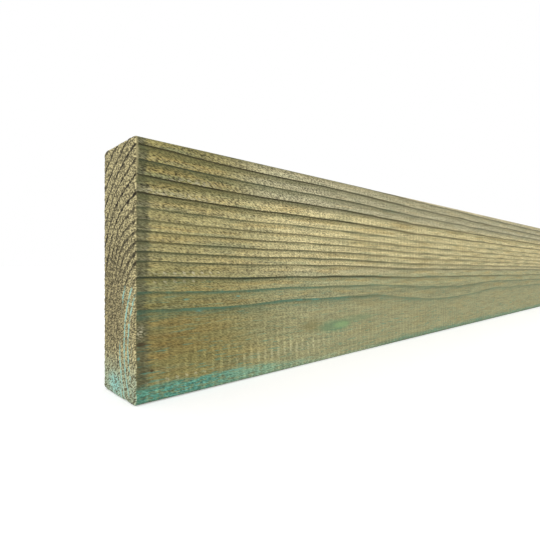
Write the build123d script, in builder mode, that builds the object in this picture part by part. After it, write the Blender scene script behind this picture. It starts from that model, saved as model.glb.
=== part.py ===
from build123d import *
import os

# Timber stud: one length of sawn, regularised softwood for wall framing.
#
# The stud rests on one narrow edge. X runs along its length, Y across its
# thickness and Z up through its depth, and the origin is the centre of its
# underside. All sizes are in millimetres.

# Driving dimensions
LENGTH = 2400.0  # the standard length that a stud is sold in
DEPTH = 150.0  # the wide face, upright as the stud rests
THICKNESS = 47.0  # the narrow edge that it rests on
ARRIS_RADIUS = 3.0  # the four long corners are eased as the section is planed
CROSSCUT_EASE = 1.5  # the saw-cut end corners are only worn round by handling

os.makedirs("parts", exist_ok=True)

# The section is drawn at one end, resting on the floor and centred on its thickness
with BuildPart() as stud:
    with BuildSketch(Plane.YZ.offset(-LENGTH / 2)) as section:
        Rectangle(THICKNESS, DEPTH, align=(Align.CENTER, Align.MIN))
        fillet(section.vertices(), radius=ARRIS_RADIUS)
    extrude(amount=LENGTH)

    # Each crosscut end is a plane square to the length, with its outline worn round
    crosscut_ends = stud.faces().filter_by(Axis.X)
    fillet(crosscut_ends.edges(), radius=CROSSCUT_EASE)

stud.part.label = "stud"
export_step(stud.part, "parts/stud.step")
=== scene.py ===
# %% [markdown]
# # A treated timber stud
#
# This lesson dresses one length of green, pressure-treated softwood. The shape of the stud is
# already settled by the packed model, which is loaded here as a fixed frame, so the work is in
# what a saw, a planer, a treatment tank and the weather leave on a plain bar of wood.

# %% Load the frame
import math

import bmesh
import bpy
import numpy as np
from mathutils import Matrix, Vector


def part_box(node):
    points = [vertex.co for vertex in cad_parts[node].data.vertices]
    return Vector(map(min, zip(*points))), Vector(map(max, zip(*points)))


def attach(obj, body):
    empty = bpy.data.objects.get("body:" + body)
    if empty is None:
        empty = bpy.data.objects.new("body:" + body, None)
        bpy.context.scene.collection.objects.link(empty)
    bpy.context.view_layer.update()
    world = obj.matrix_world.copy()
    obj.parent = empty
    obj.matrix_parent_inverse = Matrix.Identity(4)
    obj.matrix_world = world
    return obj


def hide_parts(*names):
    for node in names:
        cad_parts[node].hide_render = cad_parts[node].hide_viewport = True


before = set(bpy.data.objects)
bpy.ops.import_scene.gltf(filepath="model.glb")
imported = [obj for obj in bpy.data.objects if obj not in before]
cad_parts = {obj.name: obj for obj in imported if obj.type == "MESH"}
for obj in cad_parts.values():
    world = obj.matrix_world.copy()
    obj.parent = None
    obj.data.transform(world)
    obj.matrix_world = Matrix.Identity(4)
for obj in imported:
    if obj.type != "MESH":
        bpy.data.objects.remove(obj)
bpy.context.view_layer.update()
low, high = (Vector(corner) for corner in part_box("stud"))
length, thickness, depth = high - low
middle = (low + high) / 2
MM = 0.001
print("stud", [round(side / MM, 2) for side in (length, thickness, depth)], "mm")

# %% [markdown]
# ## The sawn block
#
# The real stud starts as a square-cornered bar off the saw, and so does this one: a cube, added
# at the stud's own size. A copy of the packed mesh would do too, but its long thin triangles
# can't take any relief. A few straight cuts mark off the strips beside the edges, which stay wide
# enough to take the rounding, and the flats between them are divided evenly. The rings will
# later press real hollows into those flats, so the lines across the grain are close together,
# while along the grain, where wood hardly changes, they may be far apart.

# %% Start from a bar with square corners
EDGE_STRIP = 3.5 * MM
CROSSCUT_STRIP = 3.0 * MM
END_ZONE = 24.0 * MM

bpy.ops.object.select_all(action="DESELECT")
bpy.ops.mesh.primitive_cube_add(size=1, location=middle, scale=(length, thickness, depth))
bpy.ops.object.transform_apply(location=True, rotation=False, scale=True)
treated_stud = bpy.context.active_object
treated_stud.name = treated_stud.data.name = "treated_stud"
bpy.ops.object.mode_set(mode="EDIT")
bpy.ops.mesh.select_mode(type="EDGE")


def cut_square_to(axis, place):
    """One straight cut right through the bar, square to an axis."""
    through = Vector((0, 0, 0))
    through[axis] = place
    facing = Vector((0, 0, 0))
    facing[axis] = 1
    bpy.ops.mesh.select_all(action="SELECT")
    bpy.ops.mesh.bisect(plane_co=through, plane_no=facing)


for margin in (END_ZONE, CROSSCUT_STRIP):
    cut_square_to(0, low.x + margin)
    cut_square_to(0, high.x - margin)
for axis in (1, 2):
    cut_square_to(axis, low[axis] + EDGE_STRIP)
    cut_square_to(axis, high[axis] - EDGE_STRIP)
print("block", len(bmesh.from_edit_mesh(treated_stud.data).faces), "faces")

# %% [markdown]
# To divide a flat, the edges that cross it are picked by their direction and place, and one
# Subdivide cuts them all. That is what a loop cut does, and it needs no window.

# %% Divide the flats between the strips
ROWS_ALONG = 98
ROWS_NEAR_AN_END = 10
COARSE_LINES_UP = 60
FINE_LINES_IN_EACH = 4
LINES_THROUGH = 40
ALMOST_STRAIGHT = 0.9


def pick_edges(wanted):
    """Selects the edges that pass a test, and nothing else."""
    bpy.ops.mesh.select_all(action="DESELECT")
    mesh = bmesh.from_edit_mesh(treated_stud.data)
    for edge in mesh.edges:
        edge.select_set(wanted(edge))
    bmesh.update_edit_mesh(treated_stud.data)


def divide(axis, start, stop, parts):
    """Cuts every edge that runs along an axis between two places into equal parts."""

    def crosses(edge):
        one, other = (corner.co for corner in edge.verts)
        straight = abs(other[axis] - one[axis]) > ALMOST_STRAIGHT * (other - one).length
        return straight and start < (one[axis] + other[axis]) / 2 < stop

    pick_edges(crosses)
    bpy.ops.mesh.subdivide(number_cuts=parts - 1)


divide(2, low.z + EDGE_STRIP, high.z - EDGE_STRIP, COARSE_LINES_UP)
divide(2, low.z + EDGE_STRIP, high.z - EDGE_STRIP, FINE_LINES_IN_EACH)
divide(1, low.y + EDGE_STRIP, high.y - EDGE_STRIP, LINES_THROUGH)
divide(0, low.x + END_ZONE, high.x - END_ZONE, ROWS_ALONG)
divide(0, low.x + CROSSCUT_STRIP, low.x + END_ZONE, ROWS_NEAR_AN_END)
divide(0, high.x - END_ZONE, high.x - CROSSCUT_STRIP, ROWS_NEAR_AN_END)
print("divided", len(bmesh.from_edit_mesh(treated_stud.data).faces), "faces")

# %% [markdown]
# ## Eased edges
#
# A planer rounds the four long corners, which carpenters call arrises, to a radius of 3 mm. The
# saw-cut ends are only rubbed round by handling, so their outline gets a smaller bevel. A Bevel
# modifier would give every edge the same width, so the bevel is done twice by hand. The long
# corners come first, because the end's outline then runs round them.

# %% Ease the arrises, then the outline of each crosscut
ARRIS_RADIUS = 3.0 * MM
ARRIS_SEGMENTS = 4
CROSSCUT_EASE = 1.5 * MM
CROSSCUT_SEGMENTS = 3
HAIR = 0.01 * MM
SMOOTH_BELOW_DEGREES = 40


def on_an_arris(edge):
    """True for an edge on one of the bar's four long corners."""
    return all(
        min(corner.co.y - low.y, high.y - corner.co.y) < HAIR
        and min(corner.co.z - low.z, high.z - corner.co.z) < HAIR
        for corner in edge.verts
    )


def on_a_crosscut_outline(edge):
    """True for an edge between a face that looks along the stud and one that doesn't."""
    facing = sorted(abs(face.normal.x) for face in edge.link_faces)
    return facing[0] < 0.5 < facing[-1]


pick_edges(on_an_arris)
bpy.ops.mesh.bevel(offset=ARRIS_RADIUS, segments=ARRIS_SEGMENTS, affect="EDGES")
pick_edges(on_a_crosscut_outline)
bpy.ops.mesh.bevel(offset=CROSSCUT_EASE, segments=CROSSCUT_SEGMENTS, affect="EDGES")
bpy.ops.mesh.select_all(action="SELECT")
bpy.ops.mesh.remove_doubles(threshold=HAIR)
bpy.ops.mesh.normals_make_consistent(inside=False)
bpy.ops.object.mode_set(mode="OBJECT")
bpy.ops.object.shade_smooth_by_angle(angle=math.radians(SMOOTH_BELOW_DEGREES))
print("eased", len(treated_stud.data.polygons), "faces")

# %% [markdown]
# ## A way to write node maths
#
# Wood is one pattern seen from many sides, so both the hollows in the surface and its colours
# are worked out from the same place-to-number formulas. Writing a formula in Python is easier to
# read than wiring nodes by hand. A Wire holds one socket, and each sign between two wires adds
# the Math node that does that sum. The same class works in a shader and in Geometry Nodes.


# %% A wire that does sums
class Wire:
    """One socket of a node tree, or the bare tree to start from."""

    def __init__(self, tree, socket=None):
        self.tree = tree
        self.socket = socket

    def node(self, kind, settings=None, inputs=None, output=0):
        """Adds a node: first its settings, then its sockets, as numbers or as wires."""
        node = self.tree.nodes.new(kind)
        for name, value in (settings or {}).items():
            if name == "points":
                set_curve(node.mapping, value)
            elif name == "stops":
                set_stops(node.color_ramp, value)
            else:
                setattr(node, name, value)
        for key, value in (inputs or {}).items():
            if isinstance(value, Wire):
                self.tree.links.new(value.socket, node.inputs[key])
            else:
                node.inputs[key].default_value = value
        return Wire(self.tree, node.outputs[output])

    def sum(self, operation, *others):
        """A Math node on this wire and up to two more values."""
        values = dict(enumerate((self, *others)))
        return self.node("ShaderNodeMath", {"operation": operation}, values)

    def vector(self, operation, *others, output=0):
        """A Vector Math node on this place or colour and up to two more."""
        values = dict(enumerate((self, *others)))
        return self.node("ShaderNodeVectorMath", {"operation": operation}, values, output)

    def times(self, amount):
        """A place or a colour, every part of it times one amount."""
        return self.node("ShaderNodeVectorMath", {"operation": "SCALE"}, {0: self, "Scale": amount})

    def parts(self):
        """The X, Y and Z of a vector."""
        return [self.node("ShaderNodeSeparateXYZ", inputs={0: self}, output=i) for i in range(3)]

    def ends_in(self, kind):
        """Adds the node that a tree ends in, and links this wire to it."""
        self.tree.links.new(self.socket, self.tree.nodes.new(kind).inputs[0])

    def __add__(self, other):
        return self.sum("ADD", other)

    def __sub__(self, other):
        return self.sum("SUBTRACT", other)

    def __mul__(self, other):
        return self.sum("MULTIPLY", other)

    def __truediv__(self, other):
        return self.sum("DIVIDE", other)

    def __pow__(self, other):
        return self.sum("POWER", other)

    def __rsub__(self, other):
        return self.node("ShaderNodeMath", {"operation": "SUBTRACT"}, {0: other, 1: self})

    __radd__ = __add__
    __rmul__ = __mul__


print("beside sums, a wire has", [name for name in vars(Wire) if not name.startswith("__")])

# %% [markdown]
# Two kinds of node hold a table of their own, which isn't a socket: a curve and a colour ramp. A
# Wire hands their tables to these two helpers. The curve runs straight from point to point, so
# that the age of the wood grows evenly within a ring, and the ramp holds each colour, so that one
# ring's looks don't run into the next.


# %% Fill in a curve and a colour ramp
def set_curve(mapping, points):
    """Puts straight runs between the given points on a curve node."""
    curve = mapping.curves[0]
    while len(curve.points) < len(points):
        curve.points.new(0, 0)
    for point, place in zip(curve.points, points):
        point.location = place
        point.handle_type = "VECTOR"
    mapping.update()


def set_stops(ramp, stops):
    """Puts (place, colour) stops on a ramp, each colour holding until the next."""
    ramp.interpolation = "CONSTANT"
    while len(ramp.elements) < len(stops):
        ramp.elements.new(1)
    for stop, (place, colour) in zip(ramp.elements, stops):
        stop.position = place
        stop.color = (*colour, 1)


print("helpers for tables:", set_curve.__name__, "and", set_stops.__name__)

# %% [markdown]
# Three patterns do nearly all the work. A step is a soft threshold. Clouds are noise stretched
# along the grain, down to the size of one fibre. A spot is one mark in one place. The other
# helpers only put these together. All of them measure in millimetres. A noise texture has just
# one size for all directions, so the place is stretched before it goes in, and the seed moves it
# to a part of the noise that nothing else uses.


# %% Patterns
def step(value, start, stop):
    """Rises smoothly from 0 at start to 1 at stop, or falls if stop is the smaller."""
    sockets = {"Value": value, "From Min": min(start, stop), "From Max": max(start, stop)}
    if stop < start:
        sockets.update({"To Min": 1.0, "To Max": 0.0})
    return value.node("ShaderNodeMapRange", {"interpolation_type": "SMOOTHSTEP"}, sockets)


def between(value, start, full, fading, stop):
    """0 up to start, 1 from full to where it starts fading, and 0 again past stop."""
    return step(value, start, full) * step(value, stop, fading)


def capped(value):
    """A value that stops at 1."""
    return value.sum("MINIMUM", 1.0)


def clouds(place, size, seed, detail=2.0):
    """Soft noise around 0.5, whose blotches have the given size along X, Y and Z."""
    scale = [1 / side for side in size]
    moved = place.vector("MULTIPLY_ADD", scale, (seed, 2 * seed, -seed))
    inputs = {"Vector": moved, "Scale": 1.0, "Detail": detail}
    return place.node("ShaderNodeTexNoise", inputs=inputs)


def spot(place, centre, size):
    """1 at the middle of an egg-shaped spot, 0 at its rim and beyond."""
    shrunk = place.vector("SUBTRACT", centre).vector("DIVIDE", size)
    return step(shrunk.vector("LENGTH", output="Value"), 1.0, 0.0)


def spots(place, marks):
    """Several spots added up, each given by its centre, its size and its strength."""
    total = 0.0
    for centre, size, strength in marks:
        total = total + spot(place, centre, size) * strength
    return total


print("patterns:", [pattern.__name__ for pattern in (step, between, clouds, spot, spots)])

# %% [markdown]
# Marks that the real stud has on its front are placed as one would measure them there, with a
# rule laid from the near upper corner: so far along, and so far down. The whole block is measured
# in millimetres, with X along it, Y through it and Z up from the floor.

# %% A rule along the front
HALF_LENGTH = length / 2 / MM
HALF_THICKNESS = thickness / 2 / MM
DEPTH = depth / MM


def on_front(from_near_end, from_top):
    """A place on the front wide face, found with a rule from its near upper corner."""
    return (from_near_end - HALF_LENGTH, -HALF_THICKNESS, DEPTH - from_top)


print("the front's near upper corner is at", on_front(0, 0), "mm")

# %% [markdown]
# ## Growth rings
#
# A tree lays down one ring a year round its pith. The stud was cut beside the heart, with the
# pith 42 mm outside its front wide face, so that face shows the rings as long lines, the sawn
# end shows them as arcs, and at the height of the pith the face just grazes a ring and looks
# plain. A Wave texture makes rings too, but all of one width, so here they are worked out from
# the distance to the pith. The pith sinks a little along the stud, because no log is sawn quite
# straight, and faster in two places. Slow and quick noise makes every ring wander, the rings dip
# at one place low on the front, and inside the near end they bulge.

# %% The distance to the pith
PITH_Y = -65.5
PITH_Z = 31.5
PITH_SINKS = 0.009
PITH_DROPS = (
    (1.1, 0, 60),
    (1.5, 200, 320),
)
DRIFT, DRIFT_SIZE = 3.0, (260, 400, 400)
WOBBLE, WOBBLE_SIZE = 1.4, (45, 30, 30)
DIP, DIP_MARK = 3.5, (on_front(400, 105), (180, 60, 22))
BULGE, BULGE_MARK = 5.5, ((-HALF_LENGTH, -1.9, 90.7), (300, 24, 46))


def distance_to_pith(place):
    """How far the wood at a place is from the pith, measured across the wandering rings."""
    x, y, z = place.parts()
    from_near_end = x + HALF_LENGTH
    pith_z = PITH_Z - from_near_end * PITH_SINKS
    for drop, start, stop in PITH_DROPS:
        pith_z = pith_z - step(from_near_end, start, stop) * drop
    straight = ((y - PITH_Y) ** 2 + (z - pith_z) ** 2) ** 0.5
    drift = (clouds(place, DRIFT_SIZE, seed=3, detail=1.0) - 0.5) * DRIFT
    wobble = (clouds(place, WOBBLE_SIZE, seed=5, detail=1.0) - 0.5) * WOBBLE
    return straight + drift + wobble + spot(place, *DIP_MARK) * DIP - spot(place, *BULGE_MARK) * BULGE


print("the pith is", round(-HALF_THICKNESS - PITH_Y, 1), "mm outside the front")

# %% [markdown]
# The distance to the pith, looked up on a curve of the ring sizes, gives the age of the wood at
# any place. Its whole part counts rings, and its fraction times the ring's width says how far the
# wood lies from the dark line inside it and the one outside it. Each ring's line has its own
# darkness, and some have soaked up green copper salts. The list goes from the heart outwards:
# outer radius in mm, darkness, copper. A colour ramp holds the list in the node tree, with the
# darkness as its red, the copper as its green and the ring's width as its blue.

# %% The rings of this tree
GROWTH_RINGS = (
    (34.0, 0.15, 0.2),
    (40.5, 0.2, 0.2),
    (47.7, 0.62, 1.0),
    (52.9, 0.66, 0.8),
    (58.4, 0.95, 0.15),
    (65.0, 0.8, 0.2),
    (69.1, 0.78, 0.2),
    (73.7, 0.7, 0.1),
    (78.6, 0.66, 0.1),
    (83.9, 0.62, 0.1),
    (89.8, 0.6, 0.3),
    (97.0, 1.0, 0.0),
    (105.8, 1.0, 0.0),
    (113.7, 0.85, 0.15),
    (121.5, 0.95, 0.0),
    (129.0, 0.85, 0.1),
    (137.0, 0.9, 0.0),
    (145.0, 0.8, 0.1),
    (153.0, 0.85, 0.0),
    (161.0, 0.8, 0.1),
    (170.0, 0.8, 0.0),
)
RING_REACH = 180.0


def growth_rings(place):
    """Gives how far the wood at a place is from the lines on either side, and its ring's looks."""
    count = len(GROWTH_RINGS) + 1
    radii = [0.0] + [ring[0] for ring in GROWTH_RINGS] + [RING_REACH]
    points = [(radius / RING_REACH, index / count) for index, radius in enumerate(radii)]
    outwards = {"Value": distance_to_pith(place) / RING_REACH}
    age = place.node("ShaderNodeFloatCurve", {"points": points}, outwards) * count
    ring = age.sum("FLOOR")
    widths = [(outer - inner) / RING_REACH for inner, outer in zip(radii, radii[1:])]
    looks = [(dark, green, width) for (_, dark, green), width in zip(GROWTH_RINGS, widths)]
    stops = [(index / count, look) for index, look in enumerate(looks)]
    look = place.node("ShaderNodeValToRGB", {"stops": stops}, {0: (ring + 0.5) / count})
    darkness, copper, width = look.parts()
    width = width * RING_REACH
    lateness = age - ring
    return lateness * width, (1 - lateness) * width, darkness, copper


print(len(GROWTH_RINGS), "rings, the widest", GROWTH_RINGS[-1][0], "mm from the pith")

# %% [markdown]
# ## Hollows in the surface
#
# Planed softwood doesn't stay flat. The pale wood of spring is soft and sinks, the hard dark
# line stays proud, and the step between them is sharp on the side away from the heart. The
# sawn ends are rough, the rubbed outline of each crosscut has small bites in it, and one
# splinter is torn out beside the near end. A bump map would only shade all that, and the outline
# would stay straight, so it is pressed into the mesh with Geometry Nodes, and the modifier is
# applied. Everything moves inwards, which keeps the stud inside its true size.
#
# How much a point looks along the stud tells the ends from the long sides. On the rounded rim
# between them it looks half of each way, so the two multiplied are largest there, a quarter, and
# times 4 they reach 1.

# %% Work out the hollows
SPRING_HOLLOW = 0.22
SAW_FUZZ = 0.5
RIM_BITE = 0.5
SPLINTER_DEPTH = 1.0
SPLINTER_MARK = (on_front(2.0, 113.0), (3.5, 2.5, 2.8))

relief = bpy.data.node_groups.new("stud_relief", "GeometryNodeTree")
relief.interface.new_socket("Geometry", in_out="INPUT", socket_type="NodeSocketGeometry")
relief.interface.new_socket("Geometry", in_out="OUTPUT", socket_type="NodeSocketGeometry")
bench = Wire(relief)
place = bench.node("GeometryNodeInputPosition").times(1 / MM)
facing = bench.node("GeometryNodeInputNormal")
towards_end = facing.parts()[0] ** 2
flank = 1 - towards_end
on_the_rim = towards_end * flank * 4
_, to_line, darkness, _ = growth_rings(place)
proud = step(to_line, 3.0, 0.2) * darkness
sunken = (1 - proud) * flank * SPRING_HOLLOW
fuzz = step(clouds(place, (4, 2.6, 1.5), seed=7), 0.3, 0.7) * towards_end * SAW_FUZZ
bites = step(clouds(place, (3, 4, 4), seed=9), 0.45, 0.75) * on_the_rim * RIM_BITE
splinter = spot(place, *SPLINTER_MARK) * SPLINTER_DEPTH
inwards = (sunken + fuzz + bites + splinter) * -MM
print("the relief takes", len(relief.nodes), "nodes")

# %% [markdown]
# The distance inwards goes to a Set Position node, along the direction in which each point faces.
# Once the modifier is applied, the hollows belong to the mesh, and every point can be measured.


# %% Press the hollows into the mesh
def read(items, what, count, kind=float):
    """Reads one thing of every point, face or face corner at once, count numbers for each."""
    values = np.empty(len(items) * count, dtype=kind)
    items.foreach_get(what, values)
    return values.reshape(-1, count) if count > 1 else values


moved = {"Geometry": bench.node("NodeGroupInput"), "Offset": facing.times(inwards)}
bench.node("GeometryNodeSetPosition", inputs=moved).ends_in("NodeGroupOutput")
hollows = treated_stud.modifiers.new("hollows", "NODES")
hollows.node_group = relief
bpy.context.view_layer.objects.active = treated_stud
bpy.ops.object.modifier_apply(modifier=hollows.name)
corners = read(treated_stud.data.vertices, "co", 3) / MM
print("pressed, and still within", corners.min(0).round(2), corners.max(0).round(2), "mm")

# %% [markdown]
# ## A sheet for the colours
#
# A game or a viewer shows the colours from one square picture, so every face needs its own place
# on it. Smart UV Project would do, but it turns and scatters the pieces, which blurs fine fibres.
# So the six sides are laid out flat and straight, as a cabinet maker cuts veneer, and each face
# goes with the side that it looks towards.

# %% Find out which side each face looks towards
mesh = treated_stud.data
normals = read(mesh.polygons, "normal", 3)
centres = read(mesh.polygons, "center", 3)
face_numbers = np.arange(len(normals))
owner = np.repeat(face_numbers, read(mesh.polygons, "loop_total", 1, int))
places = corners[read(mesh.loops, "vertex_index", 1, int)] + (HALF_LENGTH, HALF_THICKNESS, 0)
looks_along = np.abs(normals).argmax(axis=1)
looks_to_plus = normals[face_numbers, looks_along] > 0
print("faces that look along X, Y and Z:", np.bincount(looks_along))

# %% [markdown]
# The long sides are cut in two at the middle and stacked as eight strips. The two sawn ends lie
# in a row above them at a larger scale, because they are small and show the finest pattern.

# %% Lay the six sides out on the sheet
SHEET = 1024
GAP = 4
PIXELS_ALONG = 0.84
PIXELS_ACROSS = 1.08
PIXELS_ON_AN_END = 2.4

flat = np.zeros((len(mesh.loops), 2))
row = GAP
for axis, across, width in ((1, 2, DEPTH), (2, 1, 2 * HALF_THICKNESS)):
    for to_plus in (False, True):
        for far_half in (False, True):
            chosen = (looks_along == axis) & (looks_to_plus == to_plus)
            chosen = (chosen & ((centres[:, 0] > 0) == far_half))[owner]
            along = places[chosen, 0] - HALF_LENGTH * far_half
            flat[chosen, 0] = GAP + along * PIXELS_ALONG
            flat[chosen, 1] = row + places[chosen, across] * PIXELS_ACROSS
            row += width * PIXELS_ACROSS + GAP
for to_plus in (False, True):
    chosen = ((looks_along == 0) & (looks_to_plus == to_plus))[owner]
    column = GAP + (DEPTH * PIXELS_ON_AN_END + GAP) * to_plus
    flat[chosen, 0] = column + places[chosen, 2] * PIXELS_ON_AN_END
    flat[chosen, 1] = row + places[chosen, 1] * PIXELS_ON_AN_END
sheet = mesh.uv_layers.active
sheet.name = "OFBake"
sheet.data.foreach_set("uv", flat.ravel() / SHEET)
print("the sheet is used from", flat.min(axis=0).round(1), "to", flat.max(axis=0).round(1), "pixels")

# %% [markdown]
# ## Wood colours
#
# The finish is one material, because it is one piece of wood. A photo of wood wrapped round the
# bar would break at every edge, while formulas that fill the whole block carry each ring from the
# face over the edge on to the end. The colours are laid on as they came to the wood: pale timber
# first, then its fibres and dark lines, the copper of the treatment, and last the damage and the
# wear. In the formulas z is the height above the floor, and from_an_end is the distance to the
# nearer cut, both in mm. An amount runs from 0 to 1.


# %% Colour helpers
MIX_UNDER, MIX_OVER, MIX_RESULT = 6, 7, 2


def paint(red, green, blue):
    """A colour as read off a swatch, from 0 to 255, turned into the light it gives (sRGB)."""
    parts = (part / 255 for part in (red, green, blue))
    return (*(part / 12.92 if part < 0.04 else ((part + 0.055) / 1.055) ** 2.4 for part in parts), 1)


def blend(amount, under, over):
    """Lays one colour over another."""
    sockets = {0: amount, MIX_UNDER: under, MIX_OVER: over}
    return amount.node("ShaderNodeMix", {"data_type": "RGBA"}, sockets, MIX_RESULT)


finish = bpy.data.materials.new("green_treated_softwood")
finish.use_nodes = True
finish.node_tree.nodes.clear()
bench = Wire(finish.node_tree)
place = bench.node("ShaderNodeTexCoord", output="Object").times(1 / MM)
facing = bench.node("ShaderNodeTexCoord", output="Normal")
x, y, z = place.parts()
from_near_end = x + HALF_LENGTH
from_an_end = HALF_LENGTH - x.sum("ABSOLUTE")
towards_end = facing.parts()[0] ** 2
flank = 1 - towards_end
from_line, to_line, darkness, copper = growth_rings(place)


def report(what):
    """Says how far the finish has come."""
    print(what, "done, with", len(finish.node_tree.nodes), "nodes so far")


report("start")

# %% [markdown]
# The pale wood is light and yellowish in a broad band above the middle of the face, greener
# below it, lighter along the top edge, where the rounded arris facing up gets a painted highlight,
# and damp and olive towards the ends, where the tank and the rain got in. One colour ramp over the
# height could give the bands, but soft steps laid over each other are easier to shift one at a time.

# %% Pale wood
PALE = paint(174, 165, 128)
SUNNY = paint(208, 195, 144)
SHADED = paint(161, 159, 119)
TOP_EDGE_HIGHLIGHT = paint(200, 184, 144)
OLIVE = paint(136, 128, 78)

sunny = between(z, 70, 80, 118, 128)
shaded = step(z, 76, 66)
# painted highlight: the top edge is lighter where the rounded arris faces up to the light
top_edge_highlight = step(z, 143, 148)
olive = step(from_an_end, 150, 20)
wood = blend(sunny * 0.8, PALE, SUNNY)
wood = blend(shaded * 0.9, wood, SHADED)
wood = blend(top_edge_highlight * 0.7, wood, TOP_EDGE_HIGHLIGHT)
wood = blend(olive * (0.95 - sunny * 0.25), wood, OLIVE)
report("pale wood")

# %% [markdown]
# Two soft noises, long along the grain, warm the wood in some streaks and cool it in others,
# less so on the even lower part of the face away from the ends. Within one year's band the middle
# is the warmest. Then come three stains of the real stud: rust low beside the near end, grey
# along the top further on, and one more patch of olive.

# %% Streaks and stains
WARM = paint(174, 150, 92)
COOL = paint(120, 128, 98)
RUSTY = paint(122, 102, 54)
GREYED = paint(187, 184, 154)
RUST_MARK = (on_front(25, 116), (46, 20, 24))
OLIVE_MARK = (on_front(52, 126), (45, 20, 28))

warm_streaks = step(clouds(place, (50, 4, 4), seed=11), 0.45, 0.65)
cool_streaks = step(clouds(place, (40, 3, 3), seed=13), 0.48, 0.68)
mid_band = step(from_line, 0.5, 2.5) * step(to_line, 1.0, 3.0)
low_on_face = step(z, 52, 42)
even = low_on_face * step(from_an_end, 50, 110)
wood = blend(warm_streaks * (0.2 + mid_band * 0.25) * (1 - even * 0.6), wood, WARM)
wood = blend(cool_streaks * (0.5 - mid_band * 0.2) * (1 - even * 0.3), wood, COOL)
rust = spot(place, *RUST_MARK) * (0.4 + warm_streaks * 0.6)
wood = blend(rust * 0.6, wood, RUSTY)
grey_top = step(z, 119, 127) * step(from_an_end, 60, 100)
wood = blend(grey_top * 0.35, wood, GREYED)
wood = blend(spot(place, *OLIVE_MARK) * 0.45, wood, OLIVE)
report("streaks and stains")

# %% [markdown]
# The sawn ends drink more than the faces. Just behind each cut the wood is dark and grey, with a
# ragged front where the liquid ran further along some fibres. A step with noise added to its
# place gives that front, and the noise is long along the grain and only as thick as a fibre.

# %% Soaked ends of the faces
SOAKED = paint(86, 87, 65)

ragged = (clouds(place, (60, 1.2, 1.2), seed=43, detail=3.0) - 0.5) * 10
soak_reach = 6.3 + sunny * 1.7 + low_on_face * 1.2
soaked = step(from_an_end + ragged - soak_reach, 2.0, -1.5) * flank
wood = blend(soaked * 0.8, wood, SOAKED)
report("soaked ends")

# %% [markdown]
# Fibres show at three sizes: broad streaks, thin threads, and short flecks where single fibres
# have lifted, which lean a little down to the right because the grain isn't quite level. A noise
# leans when some of its X is added to its Z before it is read.

# %% Fibres
LEAN = 0.2

leaning = bench.node("ShaderNodeCombineXYZ", inputs={0: x, 1: y, 2: z + x * LEAN})
fleck = step(clouds(leaning, (2.0, 0.6, 0.6), seed=19, detail=1.0), 0.3, 0.7)
thread = step(clouds(place, (16, 0.7, 0.7), seed=23), 0.3, 0.7)
streak = step(clouds(place, (50, 1.7, 1.7), seed=25), 0.3, 0.7)
report("fibres")

# %% [markdown]
# The planer's knives pressed an upright row of marks at every bite, 6.4 mm apart. A sine along
# the stud gives the pitch. The rows lean very little and wander, because a knife isn't quite
# square and the feed isn't quite even, and a second noise, which leans more steeply than the
# fibres, breaks each row up into short raised dashes.

# %% Knife marks
KNIFE_PITCH = 6.4
FIRST_KNIFE_MARK = 0.45
KNIFE_LEAN = 0.03
KNIFE_WANDER = 3
STEEP_LEAN = 0.65

knife_wander = clouds(place, (80, 25, 25), seed=29) * KNIFE_WANDER
bite_place = from_near_end + z * KNIFE_LEAN + knife_wander - FIRST_KNIFE_MARK
bite_turn = bite_place * (math.tau / KNIFE_PITCH)
bite = step(bite_turn.sum("SINE"), 0.1, 0.95)
steep = bench.node("ShaderNodeCombineXYZ", inputs={0: x, 1: y, 2: z + x * STEEP_LEAN})
raised = bite * step(clouds(steep, (3.4, 1.0, 1.0), seed=31, detail=1.0), 0.38, 0.56)
report("knife marks")

# %% [markdown]
# Fibres and knife marks don't change the colour of wood, only how light it is, so they are put
# together as one tone that multiplies the colour. Part of that light and dark is the wood's own
# threads and streaks, and part is painted highlights and shade on the lifted fibres and the raised
# knife marks. The flecks are strongest near the ends, which have been wet and dry most often, and
# high on the face. The painted knife-mark highlights show in patches low on the face and fade out
# along the stud. The tone is lifted a little in a band across the middle and on the sunny wood,
# and it drops in one dull place near the upper corner.

# %% The tone of the wood, with painted highlights and shade
DULL_MARK = (on_front(30, 22), (70, 20, 26))

calm = 1 - step(from_an_end, 110, 230) * 0.45
upper = step(z, 60, 70)
crown = step(z, 108, 116)
fuzzy = (0.62 + step(z, 40, 54) * 0.2 + upper * 0.25 + crown * 0.3) * calm
broad = 0.1 + step(z, 44, 56) * 0.1 + sunny * 0.12
patchy = 0.25 + step(clouds(place, (50, 14, 14), seed=35), 0.4, 0.6) * 0.75
low_bars = step(z, 30, 16) * (0.3 + step(from_an_end, 60, 120) * 0.1)
low_knife_highlight = (step(z, 60, 40) * 0.15 + low_bars) * patchy
painted_knife_highlight = 0.1 + sunny * 0.12 + low_knife_highlight * (1 - step(from_an_end, 170, 270) * 0.7)
lifted = between(z, 54, 60, 70, 76) * (0.1 + step(from_an_end, 140, 200) * 0.05)
lifted = lifted + sunny * step(from_an_end, 300, 200) * 0.045
lifted = lifted - spot(place, *DULL_MARK) * 0.08
# partly painted highlights and shade: fibre flecks and knife marks lighten and darken the colour as
# lit relief would
tone = 0.95 + upper * 0.05 + lifted + (fleck - 0.5) * fuzzy
tone = tone + (thread - 0.5) * (0.25 + upper * 0.15) + (streak - 0.5) * broad
wood = wood.times(tone + raised * painted_knife_highlight)
report("tone")

# %% [markdown]
# Beside the strong lines the planer lifted tufts of soft spring wood, which have weathered to a
# greyish white. They are scattered everywhere on the upper face, and lie closest in two grey
# patches near the upper corner. One thin painted highlight, where the raised edge of a line
# catches the light, follows that line in the middle of the face.

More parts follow.
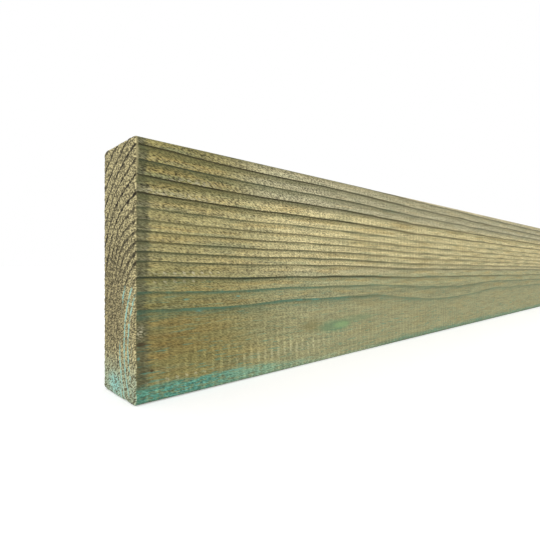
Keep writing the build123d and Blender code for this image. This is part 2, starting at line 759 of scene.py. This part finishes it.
# %% Tufts and a painted highlight
TUFT_AND_HIGHLIGHT = paint(202, 194, 160)
GREY_PATCHES = (
    (on_front(27, 28), (50, 6, 8), 1.0),
    (on_front(38, 21), (25, 6, 5), 0.6),
)
STEP_HIGHLIGHT_MARK = (on_front(40, 78.5), (34, 6, 5))

tufted = step(from_line, 4.5, 0.6) * upper * (0.2 + spots(place, GREY_PATCHES))
tufts_and_highlights = step(clouds(leaning, (2.8, 0.8, 0.8), seed=33, detail=1.0), 0.46, 0.6) * tufted
# painted highlight on the lit raised edge of a line, laid on in the tufts' pale colour
painted_step_highlight = step(from_line, 1.0, 0.4) * spot(place, *STEP_HIGHLIGHT_MARK)
tufts_and_highlights = tufts_and_highlights + painted_step_highlight * (0.2 + fleck * 0.5)
report("tufts_and_highlights")

# %% [markdown]
# Just above and below one line, and again low on the face, the raised knife marks catch the light
# in rows, one at each knife mark, and these are painted as highlights in the tufts' pale colour.
# Each row is a long flat spot, cut up by the bites and swung up and down with them, so that every
# highlight is a short slanting dash. A row is given by its place, its size and its strength.

# %% Rows of painted highlights on the knife marks
ROW_SWING = 0.5
KNIFE_MARK_HIGHLIGHTS = (
    (on_front(34, 76.7), (40, 6, 1.1), 1.0),
    (on_front(26, 81.6), (26, 6, 1.1), 1.0),
    (on_front(30, 138), (38, 6, 1.4), 0.7),
    (on_front(115, 135), (75, 6, 6.0), 0.35),
)

swing = bite_turn.sum("COSINE") * ROW_SWING
swung = bench.node("ShaderNodeCombineXYZ", inputs={0: x, 1: y, 2: z - swing})
for centre, size, strength in KNIFE_MARK_HIGHLIGHTS:
    # painted highlights where the raised knife marks catch the light
    knife_mark_highlight = step(spot(swung, centre, size), 0.05, 0.6) * bite
    tufts_and_highlights = tufts_and_highlights + knife_mark_highlight * (0.35 + fleck * 0.75) * strength
wood = blend(capped(tufts_and_highlights) * 0.8, wood, TUFT_AND_HIGHLIGHT)
report("rows of tufts")

# %% [markdown]
# The summer wood darkens gradually and ends in a sharp line. So a soft shade goes on first, and
# the line over its outer edge. Along its length a line is stronger here and weaker there, because
# the planer met it at a changing angle. Further from the ends the lines are paler and a little
# wider, near the floor they vanish, and on the back, where the face grazes a ring, they are
# weaker. Where copper has soaked in, a line is green instead of brown.

# %% Dark lines
LINE = paint(46, 42, 24)
GREEN_LINE = paint(56, 90, 72)
SHADE = paint(98, 98, 62)

grazing = step(y, 15, 22) * step(z, 62, 50)
faded = (1 - step(from_an_end, 130, 330) * 0.45) * step(z, 12, 19) * (1 - grazing * 0.6)
unevenness = clouds(place, (60, 12, 12), seed=17)
spread = step(from_an_end, 120, 280)
line_strength = 0.45 + unevenness * 0.65 + thread * 0.3
line = step(to_line - spread * upper * 0.7, 1.5, 0.4) * darkness * line_strength * faded
line = capped(line)
shade_strength = 0.25 + unevenness * 0.7 + crown * 0.25
shade = step(to_line - crown * 1.5 - spread * 0.5, 3.8, 0.4) * darkness * shade_strength * faded
wood = blend(shade * 0.75, wood, blend(copper * 0.55, SHADE, GREEN_LINE))
wood = blend(line, wood, blend(copper, LINE, GREEN_LINE))
report("dark lines")

# %% [markdown]
# Copper salts turn parts of the wood blue-green. They gather beside some of the summer lines, by
# the amount that the list of rings gives, and in short traces over the lower half of the face.

# %% Copper beside the lines
TEAL = paint(92, 146, 124)

copper_streaks = step(clouds(place, (22, 1.5, 1.5), seed=37), 0.42, 0.62)
beside_lines = step(to_line, 3.2, 0.5) * copper * faded * copper_streaks
wood = blend(beside_lines * (0.32 - upper * 0.2), wood, TEAL)
traces = step(clouds(place, (11, 1.0, 1.0), seed=39), 0.58, 0.7) * step(z, 74, 66)
wood = blend(traces * (0.32 + step(z, 36, 24) * 0.3), wood, TEAL)
report("copper beside the lines")

# %% [markdown]
# Most of the copper is along the lower edge, where the liquid drained off. The band is highest
# near the ends, thinnest about 200 mm from them, and of a middling height from there on, and it
# pales on the way. Gaps in it and, at the near corner, bright drops show that each fibre took it
# up differently. Its colour gets the light and dark of the fibres and the painted knife-mark
# highlights again, because it covers the wood that already has them. Close to each cut the
# rounded lower arris of the front gets a painted highlight of the light thrown up by the floor.

# %% The drained band
PALE_TEAL = paint(164, 192, 158)
BRIGHT_TEAL = paint(106, 168, 154)
DROPS_MARK = (on_front(32, 145), (48, 8, 7))

band_top = 2.2 + step(from_an_end, 200, 50) * 7.3 + step(from_an_end, 230, 290) * 3.5
band_edge = (clouds(place, (30, 2, 2), seed=41) - 0.5) * 7
drained = step(z - band_top + band_edge, 2.5, -2.0)
paled = (step(from_an_end, 30, 90) + step(from_an_end, 110, 180)) * step(from_an_end, 260, 210)
drained_teal = blend(paled * 0.5, TEAL, PALE_TEAL)
drops = step(clouds(place, (1.6, 0.9, 0.9), seed=61, detail=1.0), 0.46, 0.58)
drained_teal = blend(drops * spot(place, *DROPS_MARK), drained_teal, BRIGHT_TEAL)
drained_teal = drained_teal.times(0.45 + fleck * 0.6 + thread * 0.35 + raised * 0.3)
soaked_up = 0.45 + step(clouds(place, (5, 1.0, 1.0), seed=63, detail=1.0), 0.38, 0.5) * 0.55
wood = blend(drained * soaked_up * (0.6 + step(from_an_end, 150, 60) * 0.4), wood, drained_teal)
# painted highlight: the rounded lower arris near the cuts is lit by light thrown up from the floor
lower_arris_floor_light = step(z, 1.2, 0.4) * step(y, -20.5, -22.0) * step(from_an_end, 120, 60)
wood = blend(lower_arris_floor_light * 0.6, wood, WARM)
report("drained band")

# %% [markdown]
# Last, a few bright flecks of copper lie along the lines on the front. Each is a flat spot, listed
# by its place and its size.

# %% Copper flecks
COPPER_FLECKS = (
    (on_front(71.5, 92.5), (3.0, 6, 1.0)),
    (on_front(32, 92.5), (3.5, 6, 1.0)),
    (on_front(41, 100), (4.0, 6, 1.2)),
    (on_front(131, 98.5), (6.0, 6, 0.9)),
    (on_front(150, 99), (7.0, 6, 0.9)),
    (on_front(70, 141.4), (14.0, 6, 1.2)),
    (on_front(2, 123.7), (1.5, 6, 1.5)),
)

for centre, size in COPPER_FLECKS:
    wood = blend(spot(place, centre, size) * (0.3 + fleck * 0.5), wood, BRIGHT_TEAL)
report("copper flecks")

# %% [markdown]
# At the near cut a splinter has torn away, and what it left is pale and fluffy with a dark slot
# under it. A speck of bark or dirt sits a little further along. Marks that come only once are
# spots, put in place by rule.

# %% The torn splinter and a speck
DARK_BROWN = paint(66, 50, 30)
TORN_MARK = (on_front(3, 109.5), (4.5, 4, 6))
SLOT_AND_SPECK = (
    (on_front(3.5, 116), (5, 4, 2), 1.0),
    (on_front(10, 131.5), (1.6, 3, 1.5), 1.0),
)

torn_out = spot(place, *TORN_MARK) * step(fleck, 0.35, 0.75)
wood = blend(torn_out * 0.7, wood, TUFT_AND_HIGHLIGHT)
wood = blend(step(spots(place, SLOT_AND_SPECK), 0.05, 0.6) * 0.75, wood, DARK_BROWN)
report("splinter and speck")

# %% [markdown]
# A small knot lies just under the front face and shows as a soft green lens with a long tail and
# olive wood beside it. It could be a spot with clean rims, but a buried knot has none, so the same
# noise frays all its outlines, and the fibres run on over it.

# %% The buried knot
LENS_SHADOW = paint(132, 124, 78)
LENS_RIM = paint(102, 140, 104)
LENS = paint(150, 178, 124)
LENS_SHADOW_MARK = (on_front(146, 120), (22, 8, 9))
TAIL_MARK = (on_front(205, 119), (50, 8, 6))
LENS_MARK = (on_front(175, 122.8), (34, 8, 8))
LENS_HEART_MARK = (on_front(184, 122.5), (18, 8, 4.4))

wood = blend(spot(place, *LENS_SHADOW_MARK) * 0.6, wood, LENS_SHADOW)
frayed = (clouds(leaning, (8, 2, 2), seed=67) - 0.5) * 0.5
tail = step(spot(place, *TAIL_MARK) + frayed, 0.1, 0.9)
wood = blend(tail * 0.35, wood, LENS_RIM)
lens = step(spot(place, *LENS_MARK) + frayed, 0.0, 0.7)
wood = blend(lens * 0.6, wood, LENS_RIM)
lens_heart = step(spot(place, *LENS_HEART_MARK) + frayed, 0.0, 0.8)
wood = blend(lens_heart * (0.45 + fleck * 0.4), wood, LENS)
report("knot")

# %% [markdown]
# Handling rubs the outline of each cut bare and pale again, and the rounded rim is also painted
# lighter where it faces the light, most of all at the upper corners. The front of the soaked wood
# is ragged, and the same noise, weaker, frays this rim too.

# %% Rubbed and lit outline
RUBBED_AND_LIT = paint(172, 162, 120)

# partly painted highlight: besides being rubbed, the rounded rim of each cut is lighter where it
# faces the lamp
rubbed_and_lit_reach = 0.5 + step(z, 116, 136) * 1.3
rubbed_and_lit = step(from_an_end + ragged * 0.3 - rubbed_and_lit_reach, 0.8, -0.8) * (0.35 + step(z, 95, 120) * 0.65)
wood = blend(rubbed_and_lit * 0.8, wood, RUBBED_AND_LIT)
report("rubbed outline")

# %% [markdown]
# The sawn end itself is rough. The saw leaves light and dark flecks all over it, level in the
# upper half and leaning in the lower, partly the end grain's own colour and partly painted shade
# and highlights of its torn surface. Its teeth also leave faint upright marks 7.8 mm apart, and
# where one of them crosses a summer line, the wood is torn and dark. The faces' colours wouldn't
# do here, because end grain is darker and coarser, so the end gets a colour of its own.

# %% The sawn end
END_WOOD = paint(162, 152, 112)
END_BROWN = paint(142, 132, 96)
END_DARK = paint(34, 29, 20)
TOOTH_PITCH = 7.8
FIRST_TOOTH_MARK = -5.6
END_LEAN = 0.4

tilted_z = z + y * (step(z, 80, 30) * END_LEAN)
tilted = bench.node("ShaderNodeCombineXYZ", inputs={0: x, 1: y, 2: tilted_z})
saw_fleck = step(clouds(tilted, (9, 1.4, 0.9), seed=47, detail=1.0), 0.3, 0.7)
end_wood = blend(between(z, 22, 36, 70, 112) * step(y, -20, 5), END_WOOD, END_BROWN)
# partly painted shade and highlights: the saw flecks darken and lighten the end as its rough relief
# would under light
end_wood = end_wood.times(0.34 + (saw_fleck ** 1.5) * 1.8)
teeth = (y - FIRST_TOOTH_MARK) * (math.tau / TOOTH_PITCH)
tooth_mark = step(teeth.sum("COSINE"), 0.1, 0.9)
summer_line = step(to_line - tooth_mark * 0.5, 1.9, 0.9)
torn = summer_line * (0.85 + tooth_mark * 0.15) * (0.35 + step(z, 55, 85) * 0.65)
end_wood = blend(torn * (0.35 + darkness * 0.65), end_wood, END_DARK)
report("sawn end")

# %% [markdown]
# Lower down, the rings near the heart have drawn the copper in and are turquoise, and the liquid
# has gathered along the bottom. The spots here are found with a rule from the end's upper corner
# at the back, and lie on both ends, because they don't look at X.

# %% Turquoise on the sawn end
TURQUOISE = paint(166, 220, 206)


def on_end(from_back, from_top):
    """A place on a sawn end, found with a rule from its upper corner at the back."""
    return (0, HALF_THICKNESS - from_back, DEPTH - from_top)


HEART_SIDE = (
    (on_end(34, 122), (1, 10, 42), 1.0),
    (on_end(41, 92), (1, 8, 10), 1.0),
    (on_end(27, 134), (1, 4, 22), 1.0),
    (on_end(33, 90), (1, 6, 9), 0.4),
)
PUDDLE_MARK = (on_end(18, 143), (1, 14, 10))

end_place = bench.node("ShaderNodeCombineXYZ", inputs={0: 0.0, 1: y, 2: z})
drunk = step(to_line, 2.0, 1.0) * step(spots(end_place, HEART_SIDE), 0.05, 0.3)
drunk = drunk * step(clouds(place, (9, 6, 2.2), seed=59), 0.25, 0.5)
puddle = (spot(end_place, *PUDDLE_MARK) + step(z, 30, 6) * 0.42) * step(saw_fleck, 0.1, 0.6)
end_wood = blend(drunk.sum("MAXIMUM", puddle) * 0.85, end_wood, TURQUOISE)
wood = blend(step(towards_end, 0.1, 0.5), wood, end_wood)
report("turquoise")

# %% [markdown]
# Dry sawn wood is matt, and a little less so where threads lie smooth. Single fibres and knife
# marks stand up by a tenth of a millimetre or less, and the sharp edge of a line sinks as much,
# which is too fine for the mesh, so a Bump node shades them. The piece then takes the place of
# the packed solid, which is hidden.

# %% Put the finish on
LINE_HEIGHT = -0.05
FLECK_HEIGHT = 0.12
KNIFE_HEIGHT = 0.06
GLOSS_OF_WOOD = 0.2

height = line * LINE_HEIGHT + fleck * FLECK_HEIGHT + raised * KNIFE_HEIGHT
bump = {"Strength": 1.0, "Distance": MM, "Height": height}
look = {
    "Base Color": wood,
    "Roughness": 0.85 - thread * 0.15,
    "Specular IOR Level": GLOSS_OF_WOOD,
    "Normal": bench.node("ShaderNodeBump", inputs=bump),
}
bench.node("ShaderNodeBsdfPrincipled", inputs=look).ends_in("ShaderNodeOutputMaterial")
treated_stud.data.materials.clear()
treated_stud.data.materials.append(finish)

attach(treated_stud, "root")
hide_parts("stud")
report("finish")

# %% [markdown]
# ## Floor and light
#
# The stud stands on a plain white floor. A brighter lamp would make the floor white, but it would
# bleach the wood too. So the floor glows, and the sky is white, only for rays that show them to
# the camera, straight or in gloss and glass, while the light that falls on the wood stays at a
# level where a colour shows about as it is written.


# %% Floor
FLOOR_SIZE = 60
FLOOR_GLOW = 0.35
PAPER = (0.8, 0.8, 0.8, 1)


def seen_directly(start):
    """1 for a ray that shows the background itself, and 0 for one that only brings light."""
    rays = ("Is Camera Ray", "Is Glossy Ray", "Is Transmission Ray")
    camera, glossy, through = (start.node("ShaderNodeLightPath", output=ray) for ray in rays)
    return capped(camera + glossy + through)


bpy.ops.object.select_all(action="DESELECT")
bpy.ops.mesh.primitive_plane_add(size=FLOOR_SIZE)
floor = bpy.context.active_object
floor.name = "floor"
white = bpy.data.materials.new("white_floor")
white.use_nodes = True
white.node_tree.nodes.clear()
bench = Wire(white.node_tree)
look = {
    "Base Color": PAPER,
    "Roughness": 1.0,
    "Emission Color": seen_directly(bench) * FLOOR_GLOW,
    "Emission Strength": 1.0,
}
bench.node("ShaderNodeBsdfPrincipled", inputs=look).ends_in("ShaderNodeOutputMaterial")
floor.data.materials.append(white)
print("floor", FLOOR_SIZE, "m wide")

# %% [markdown]
# The photo's light is soft, as under a cloudy sky, so much of it comes from the sky. One broad
# lamp, high behind the camera, gives it a direction, so that the top edge, the face and the end
# differ in brightness.

# %% Sky and lamp
SKY_LIGHT = 0.7
LAMP_STRENGTH = 1.25
LAMP_WIDTH_DEGREES = 50
LAMP_FROM = (-0.5, -0.55, 0.67)

world = bpy.data.worlds.new("studio")
bpy.context.scene.world = world
world.use_nodes = True
world.node_tree.nodes.clear()
bench = Wire(world.node_tree)
brightness = SKY_LIGHT + seen_directly(bench) * (1 - SKY_LIGHT)
sky = bench.node("ShaderNodeBackground", inputs={"Color": (1, 1, 1, 1), "Strength": brightness})
sky.ends_in("ShaderNodeOutputWorld")

lamp = bpy.data.lights.new("soft_lamp", "SUN")
lamp.energy = LAMP_STRENGTH
lamp.angle = math.radians(LAMP_WIDTH_DEGREES)
sun = bpy.data.objects.new("soft_lamp", lamp)
bpy.context.collection.objects.link(sun)
sun.rotation_euler = Vector(LAMP_FROM).to_track_quat("Z", "Y").to_euler()
print("sky", SKY_LIGHT, "and lamp", LAMP_STRENGTH)

# %% [markdown]
# ## Camera
#
# The upright edges of the stud are parallel in the photo, so the camera stands level, at about
# half the stud's height. It is close to the near corner, which makes the stud shrink quickly
# towards its far end, and a small shift sets the picture's height without tilting the uprights.

# %% Camera
CAMERA_PLACE = (-1.29204, -0.2335, 0.07749)
CAMERA_HEADING_DEGREES = -42.4515
CAMERA_LENS = 26.4751
CAMERA_SENSOR = 36
CAMERA_SHIFT_UP = -0.0072
CAMERA_NEAREST = 0.01

eye = bpy.data.cameras.new("eye")
eye.lens = CAMERA_LENS
eye.sensor_width = CAMERA_SENSOR
eye.shift_y = CAMERA_SHIFT_UP
eye.clip_start = CAMERA_NEAREST
camera = bpy.data.objects.new("camera", eye)
bpy.context.collection.objects.link(camera)
camera.location = CAMERA_PLACE
camera.rotation_euler = (math.radians(90), 0, math.radians(CAMERA_HEADING_DEGREES))
bpy.context.scene.camera = camera
bpy.context.scene.view_settings.view_transform = "Standard"
print("camera at", CAMERA_PLACE)

# %% [markdown]
# ## Size
#
# Everything was pressed inwards, so the box round the finished stud lies inside the box of the
# packed model. Everything was pressed inwards, so the first has to lie inside the second.
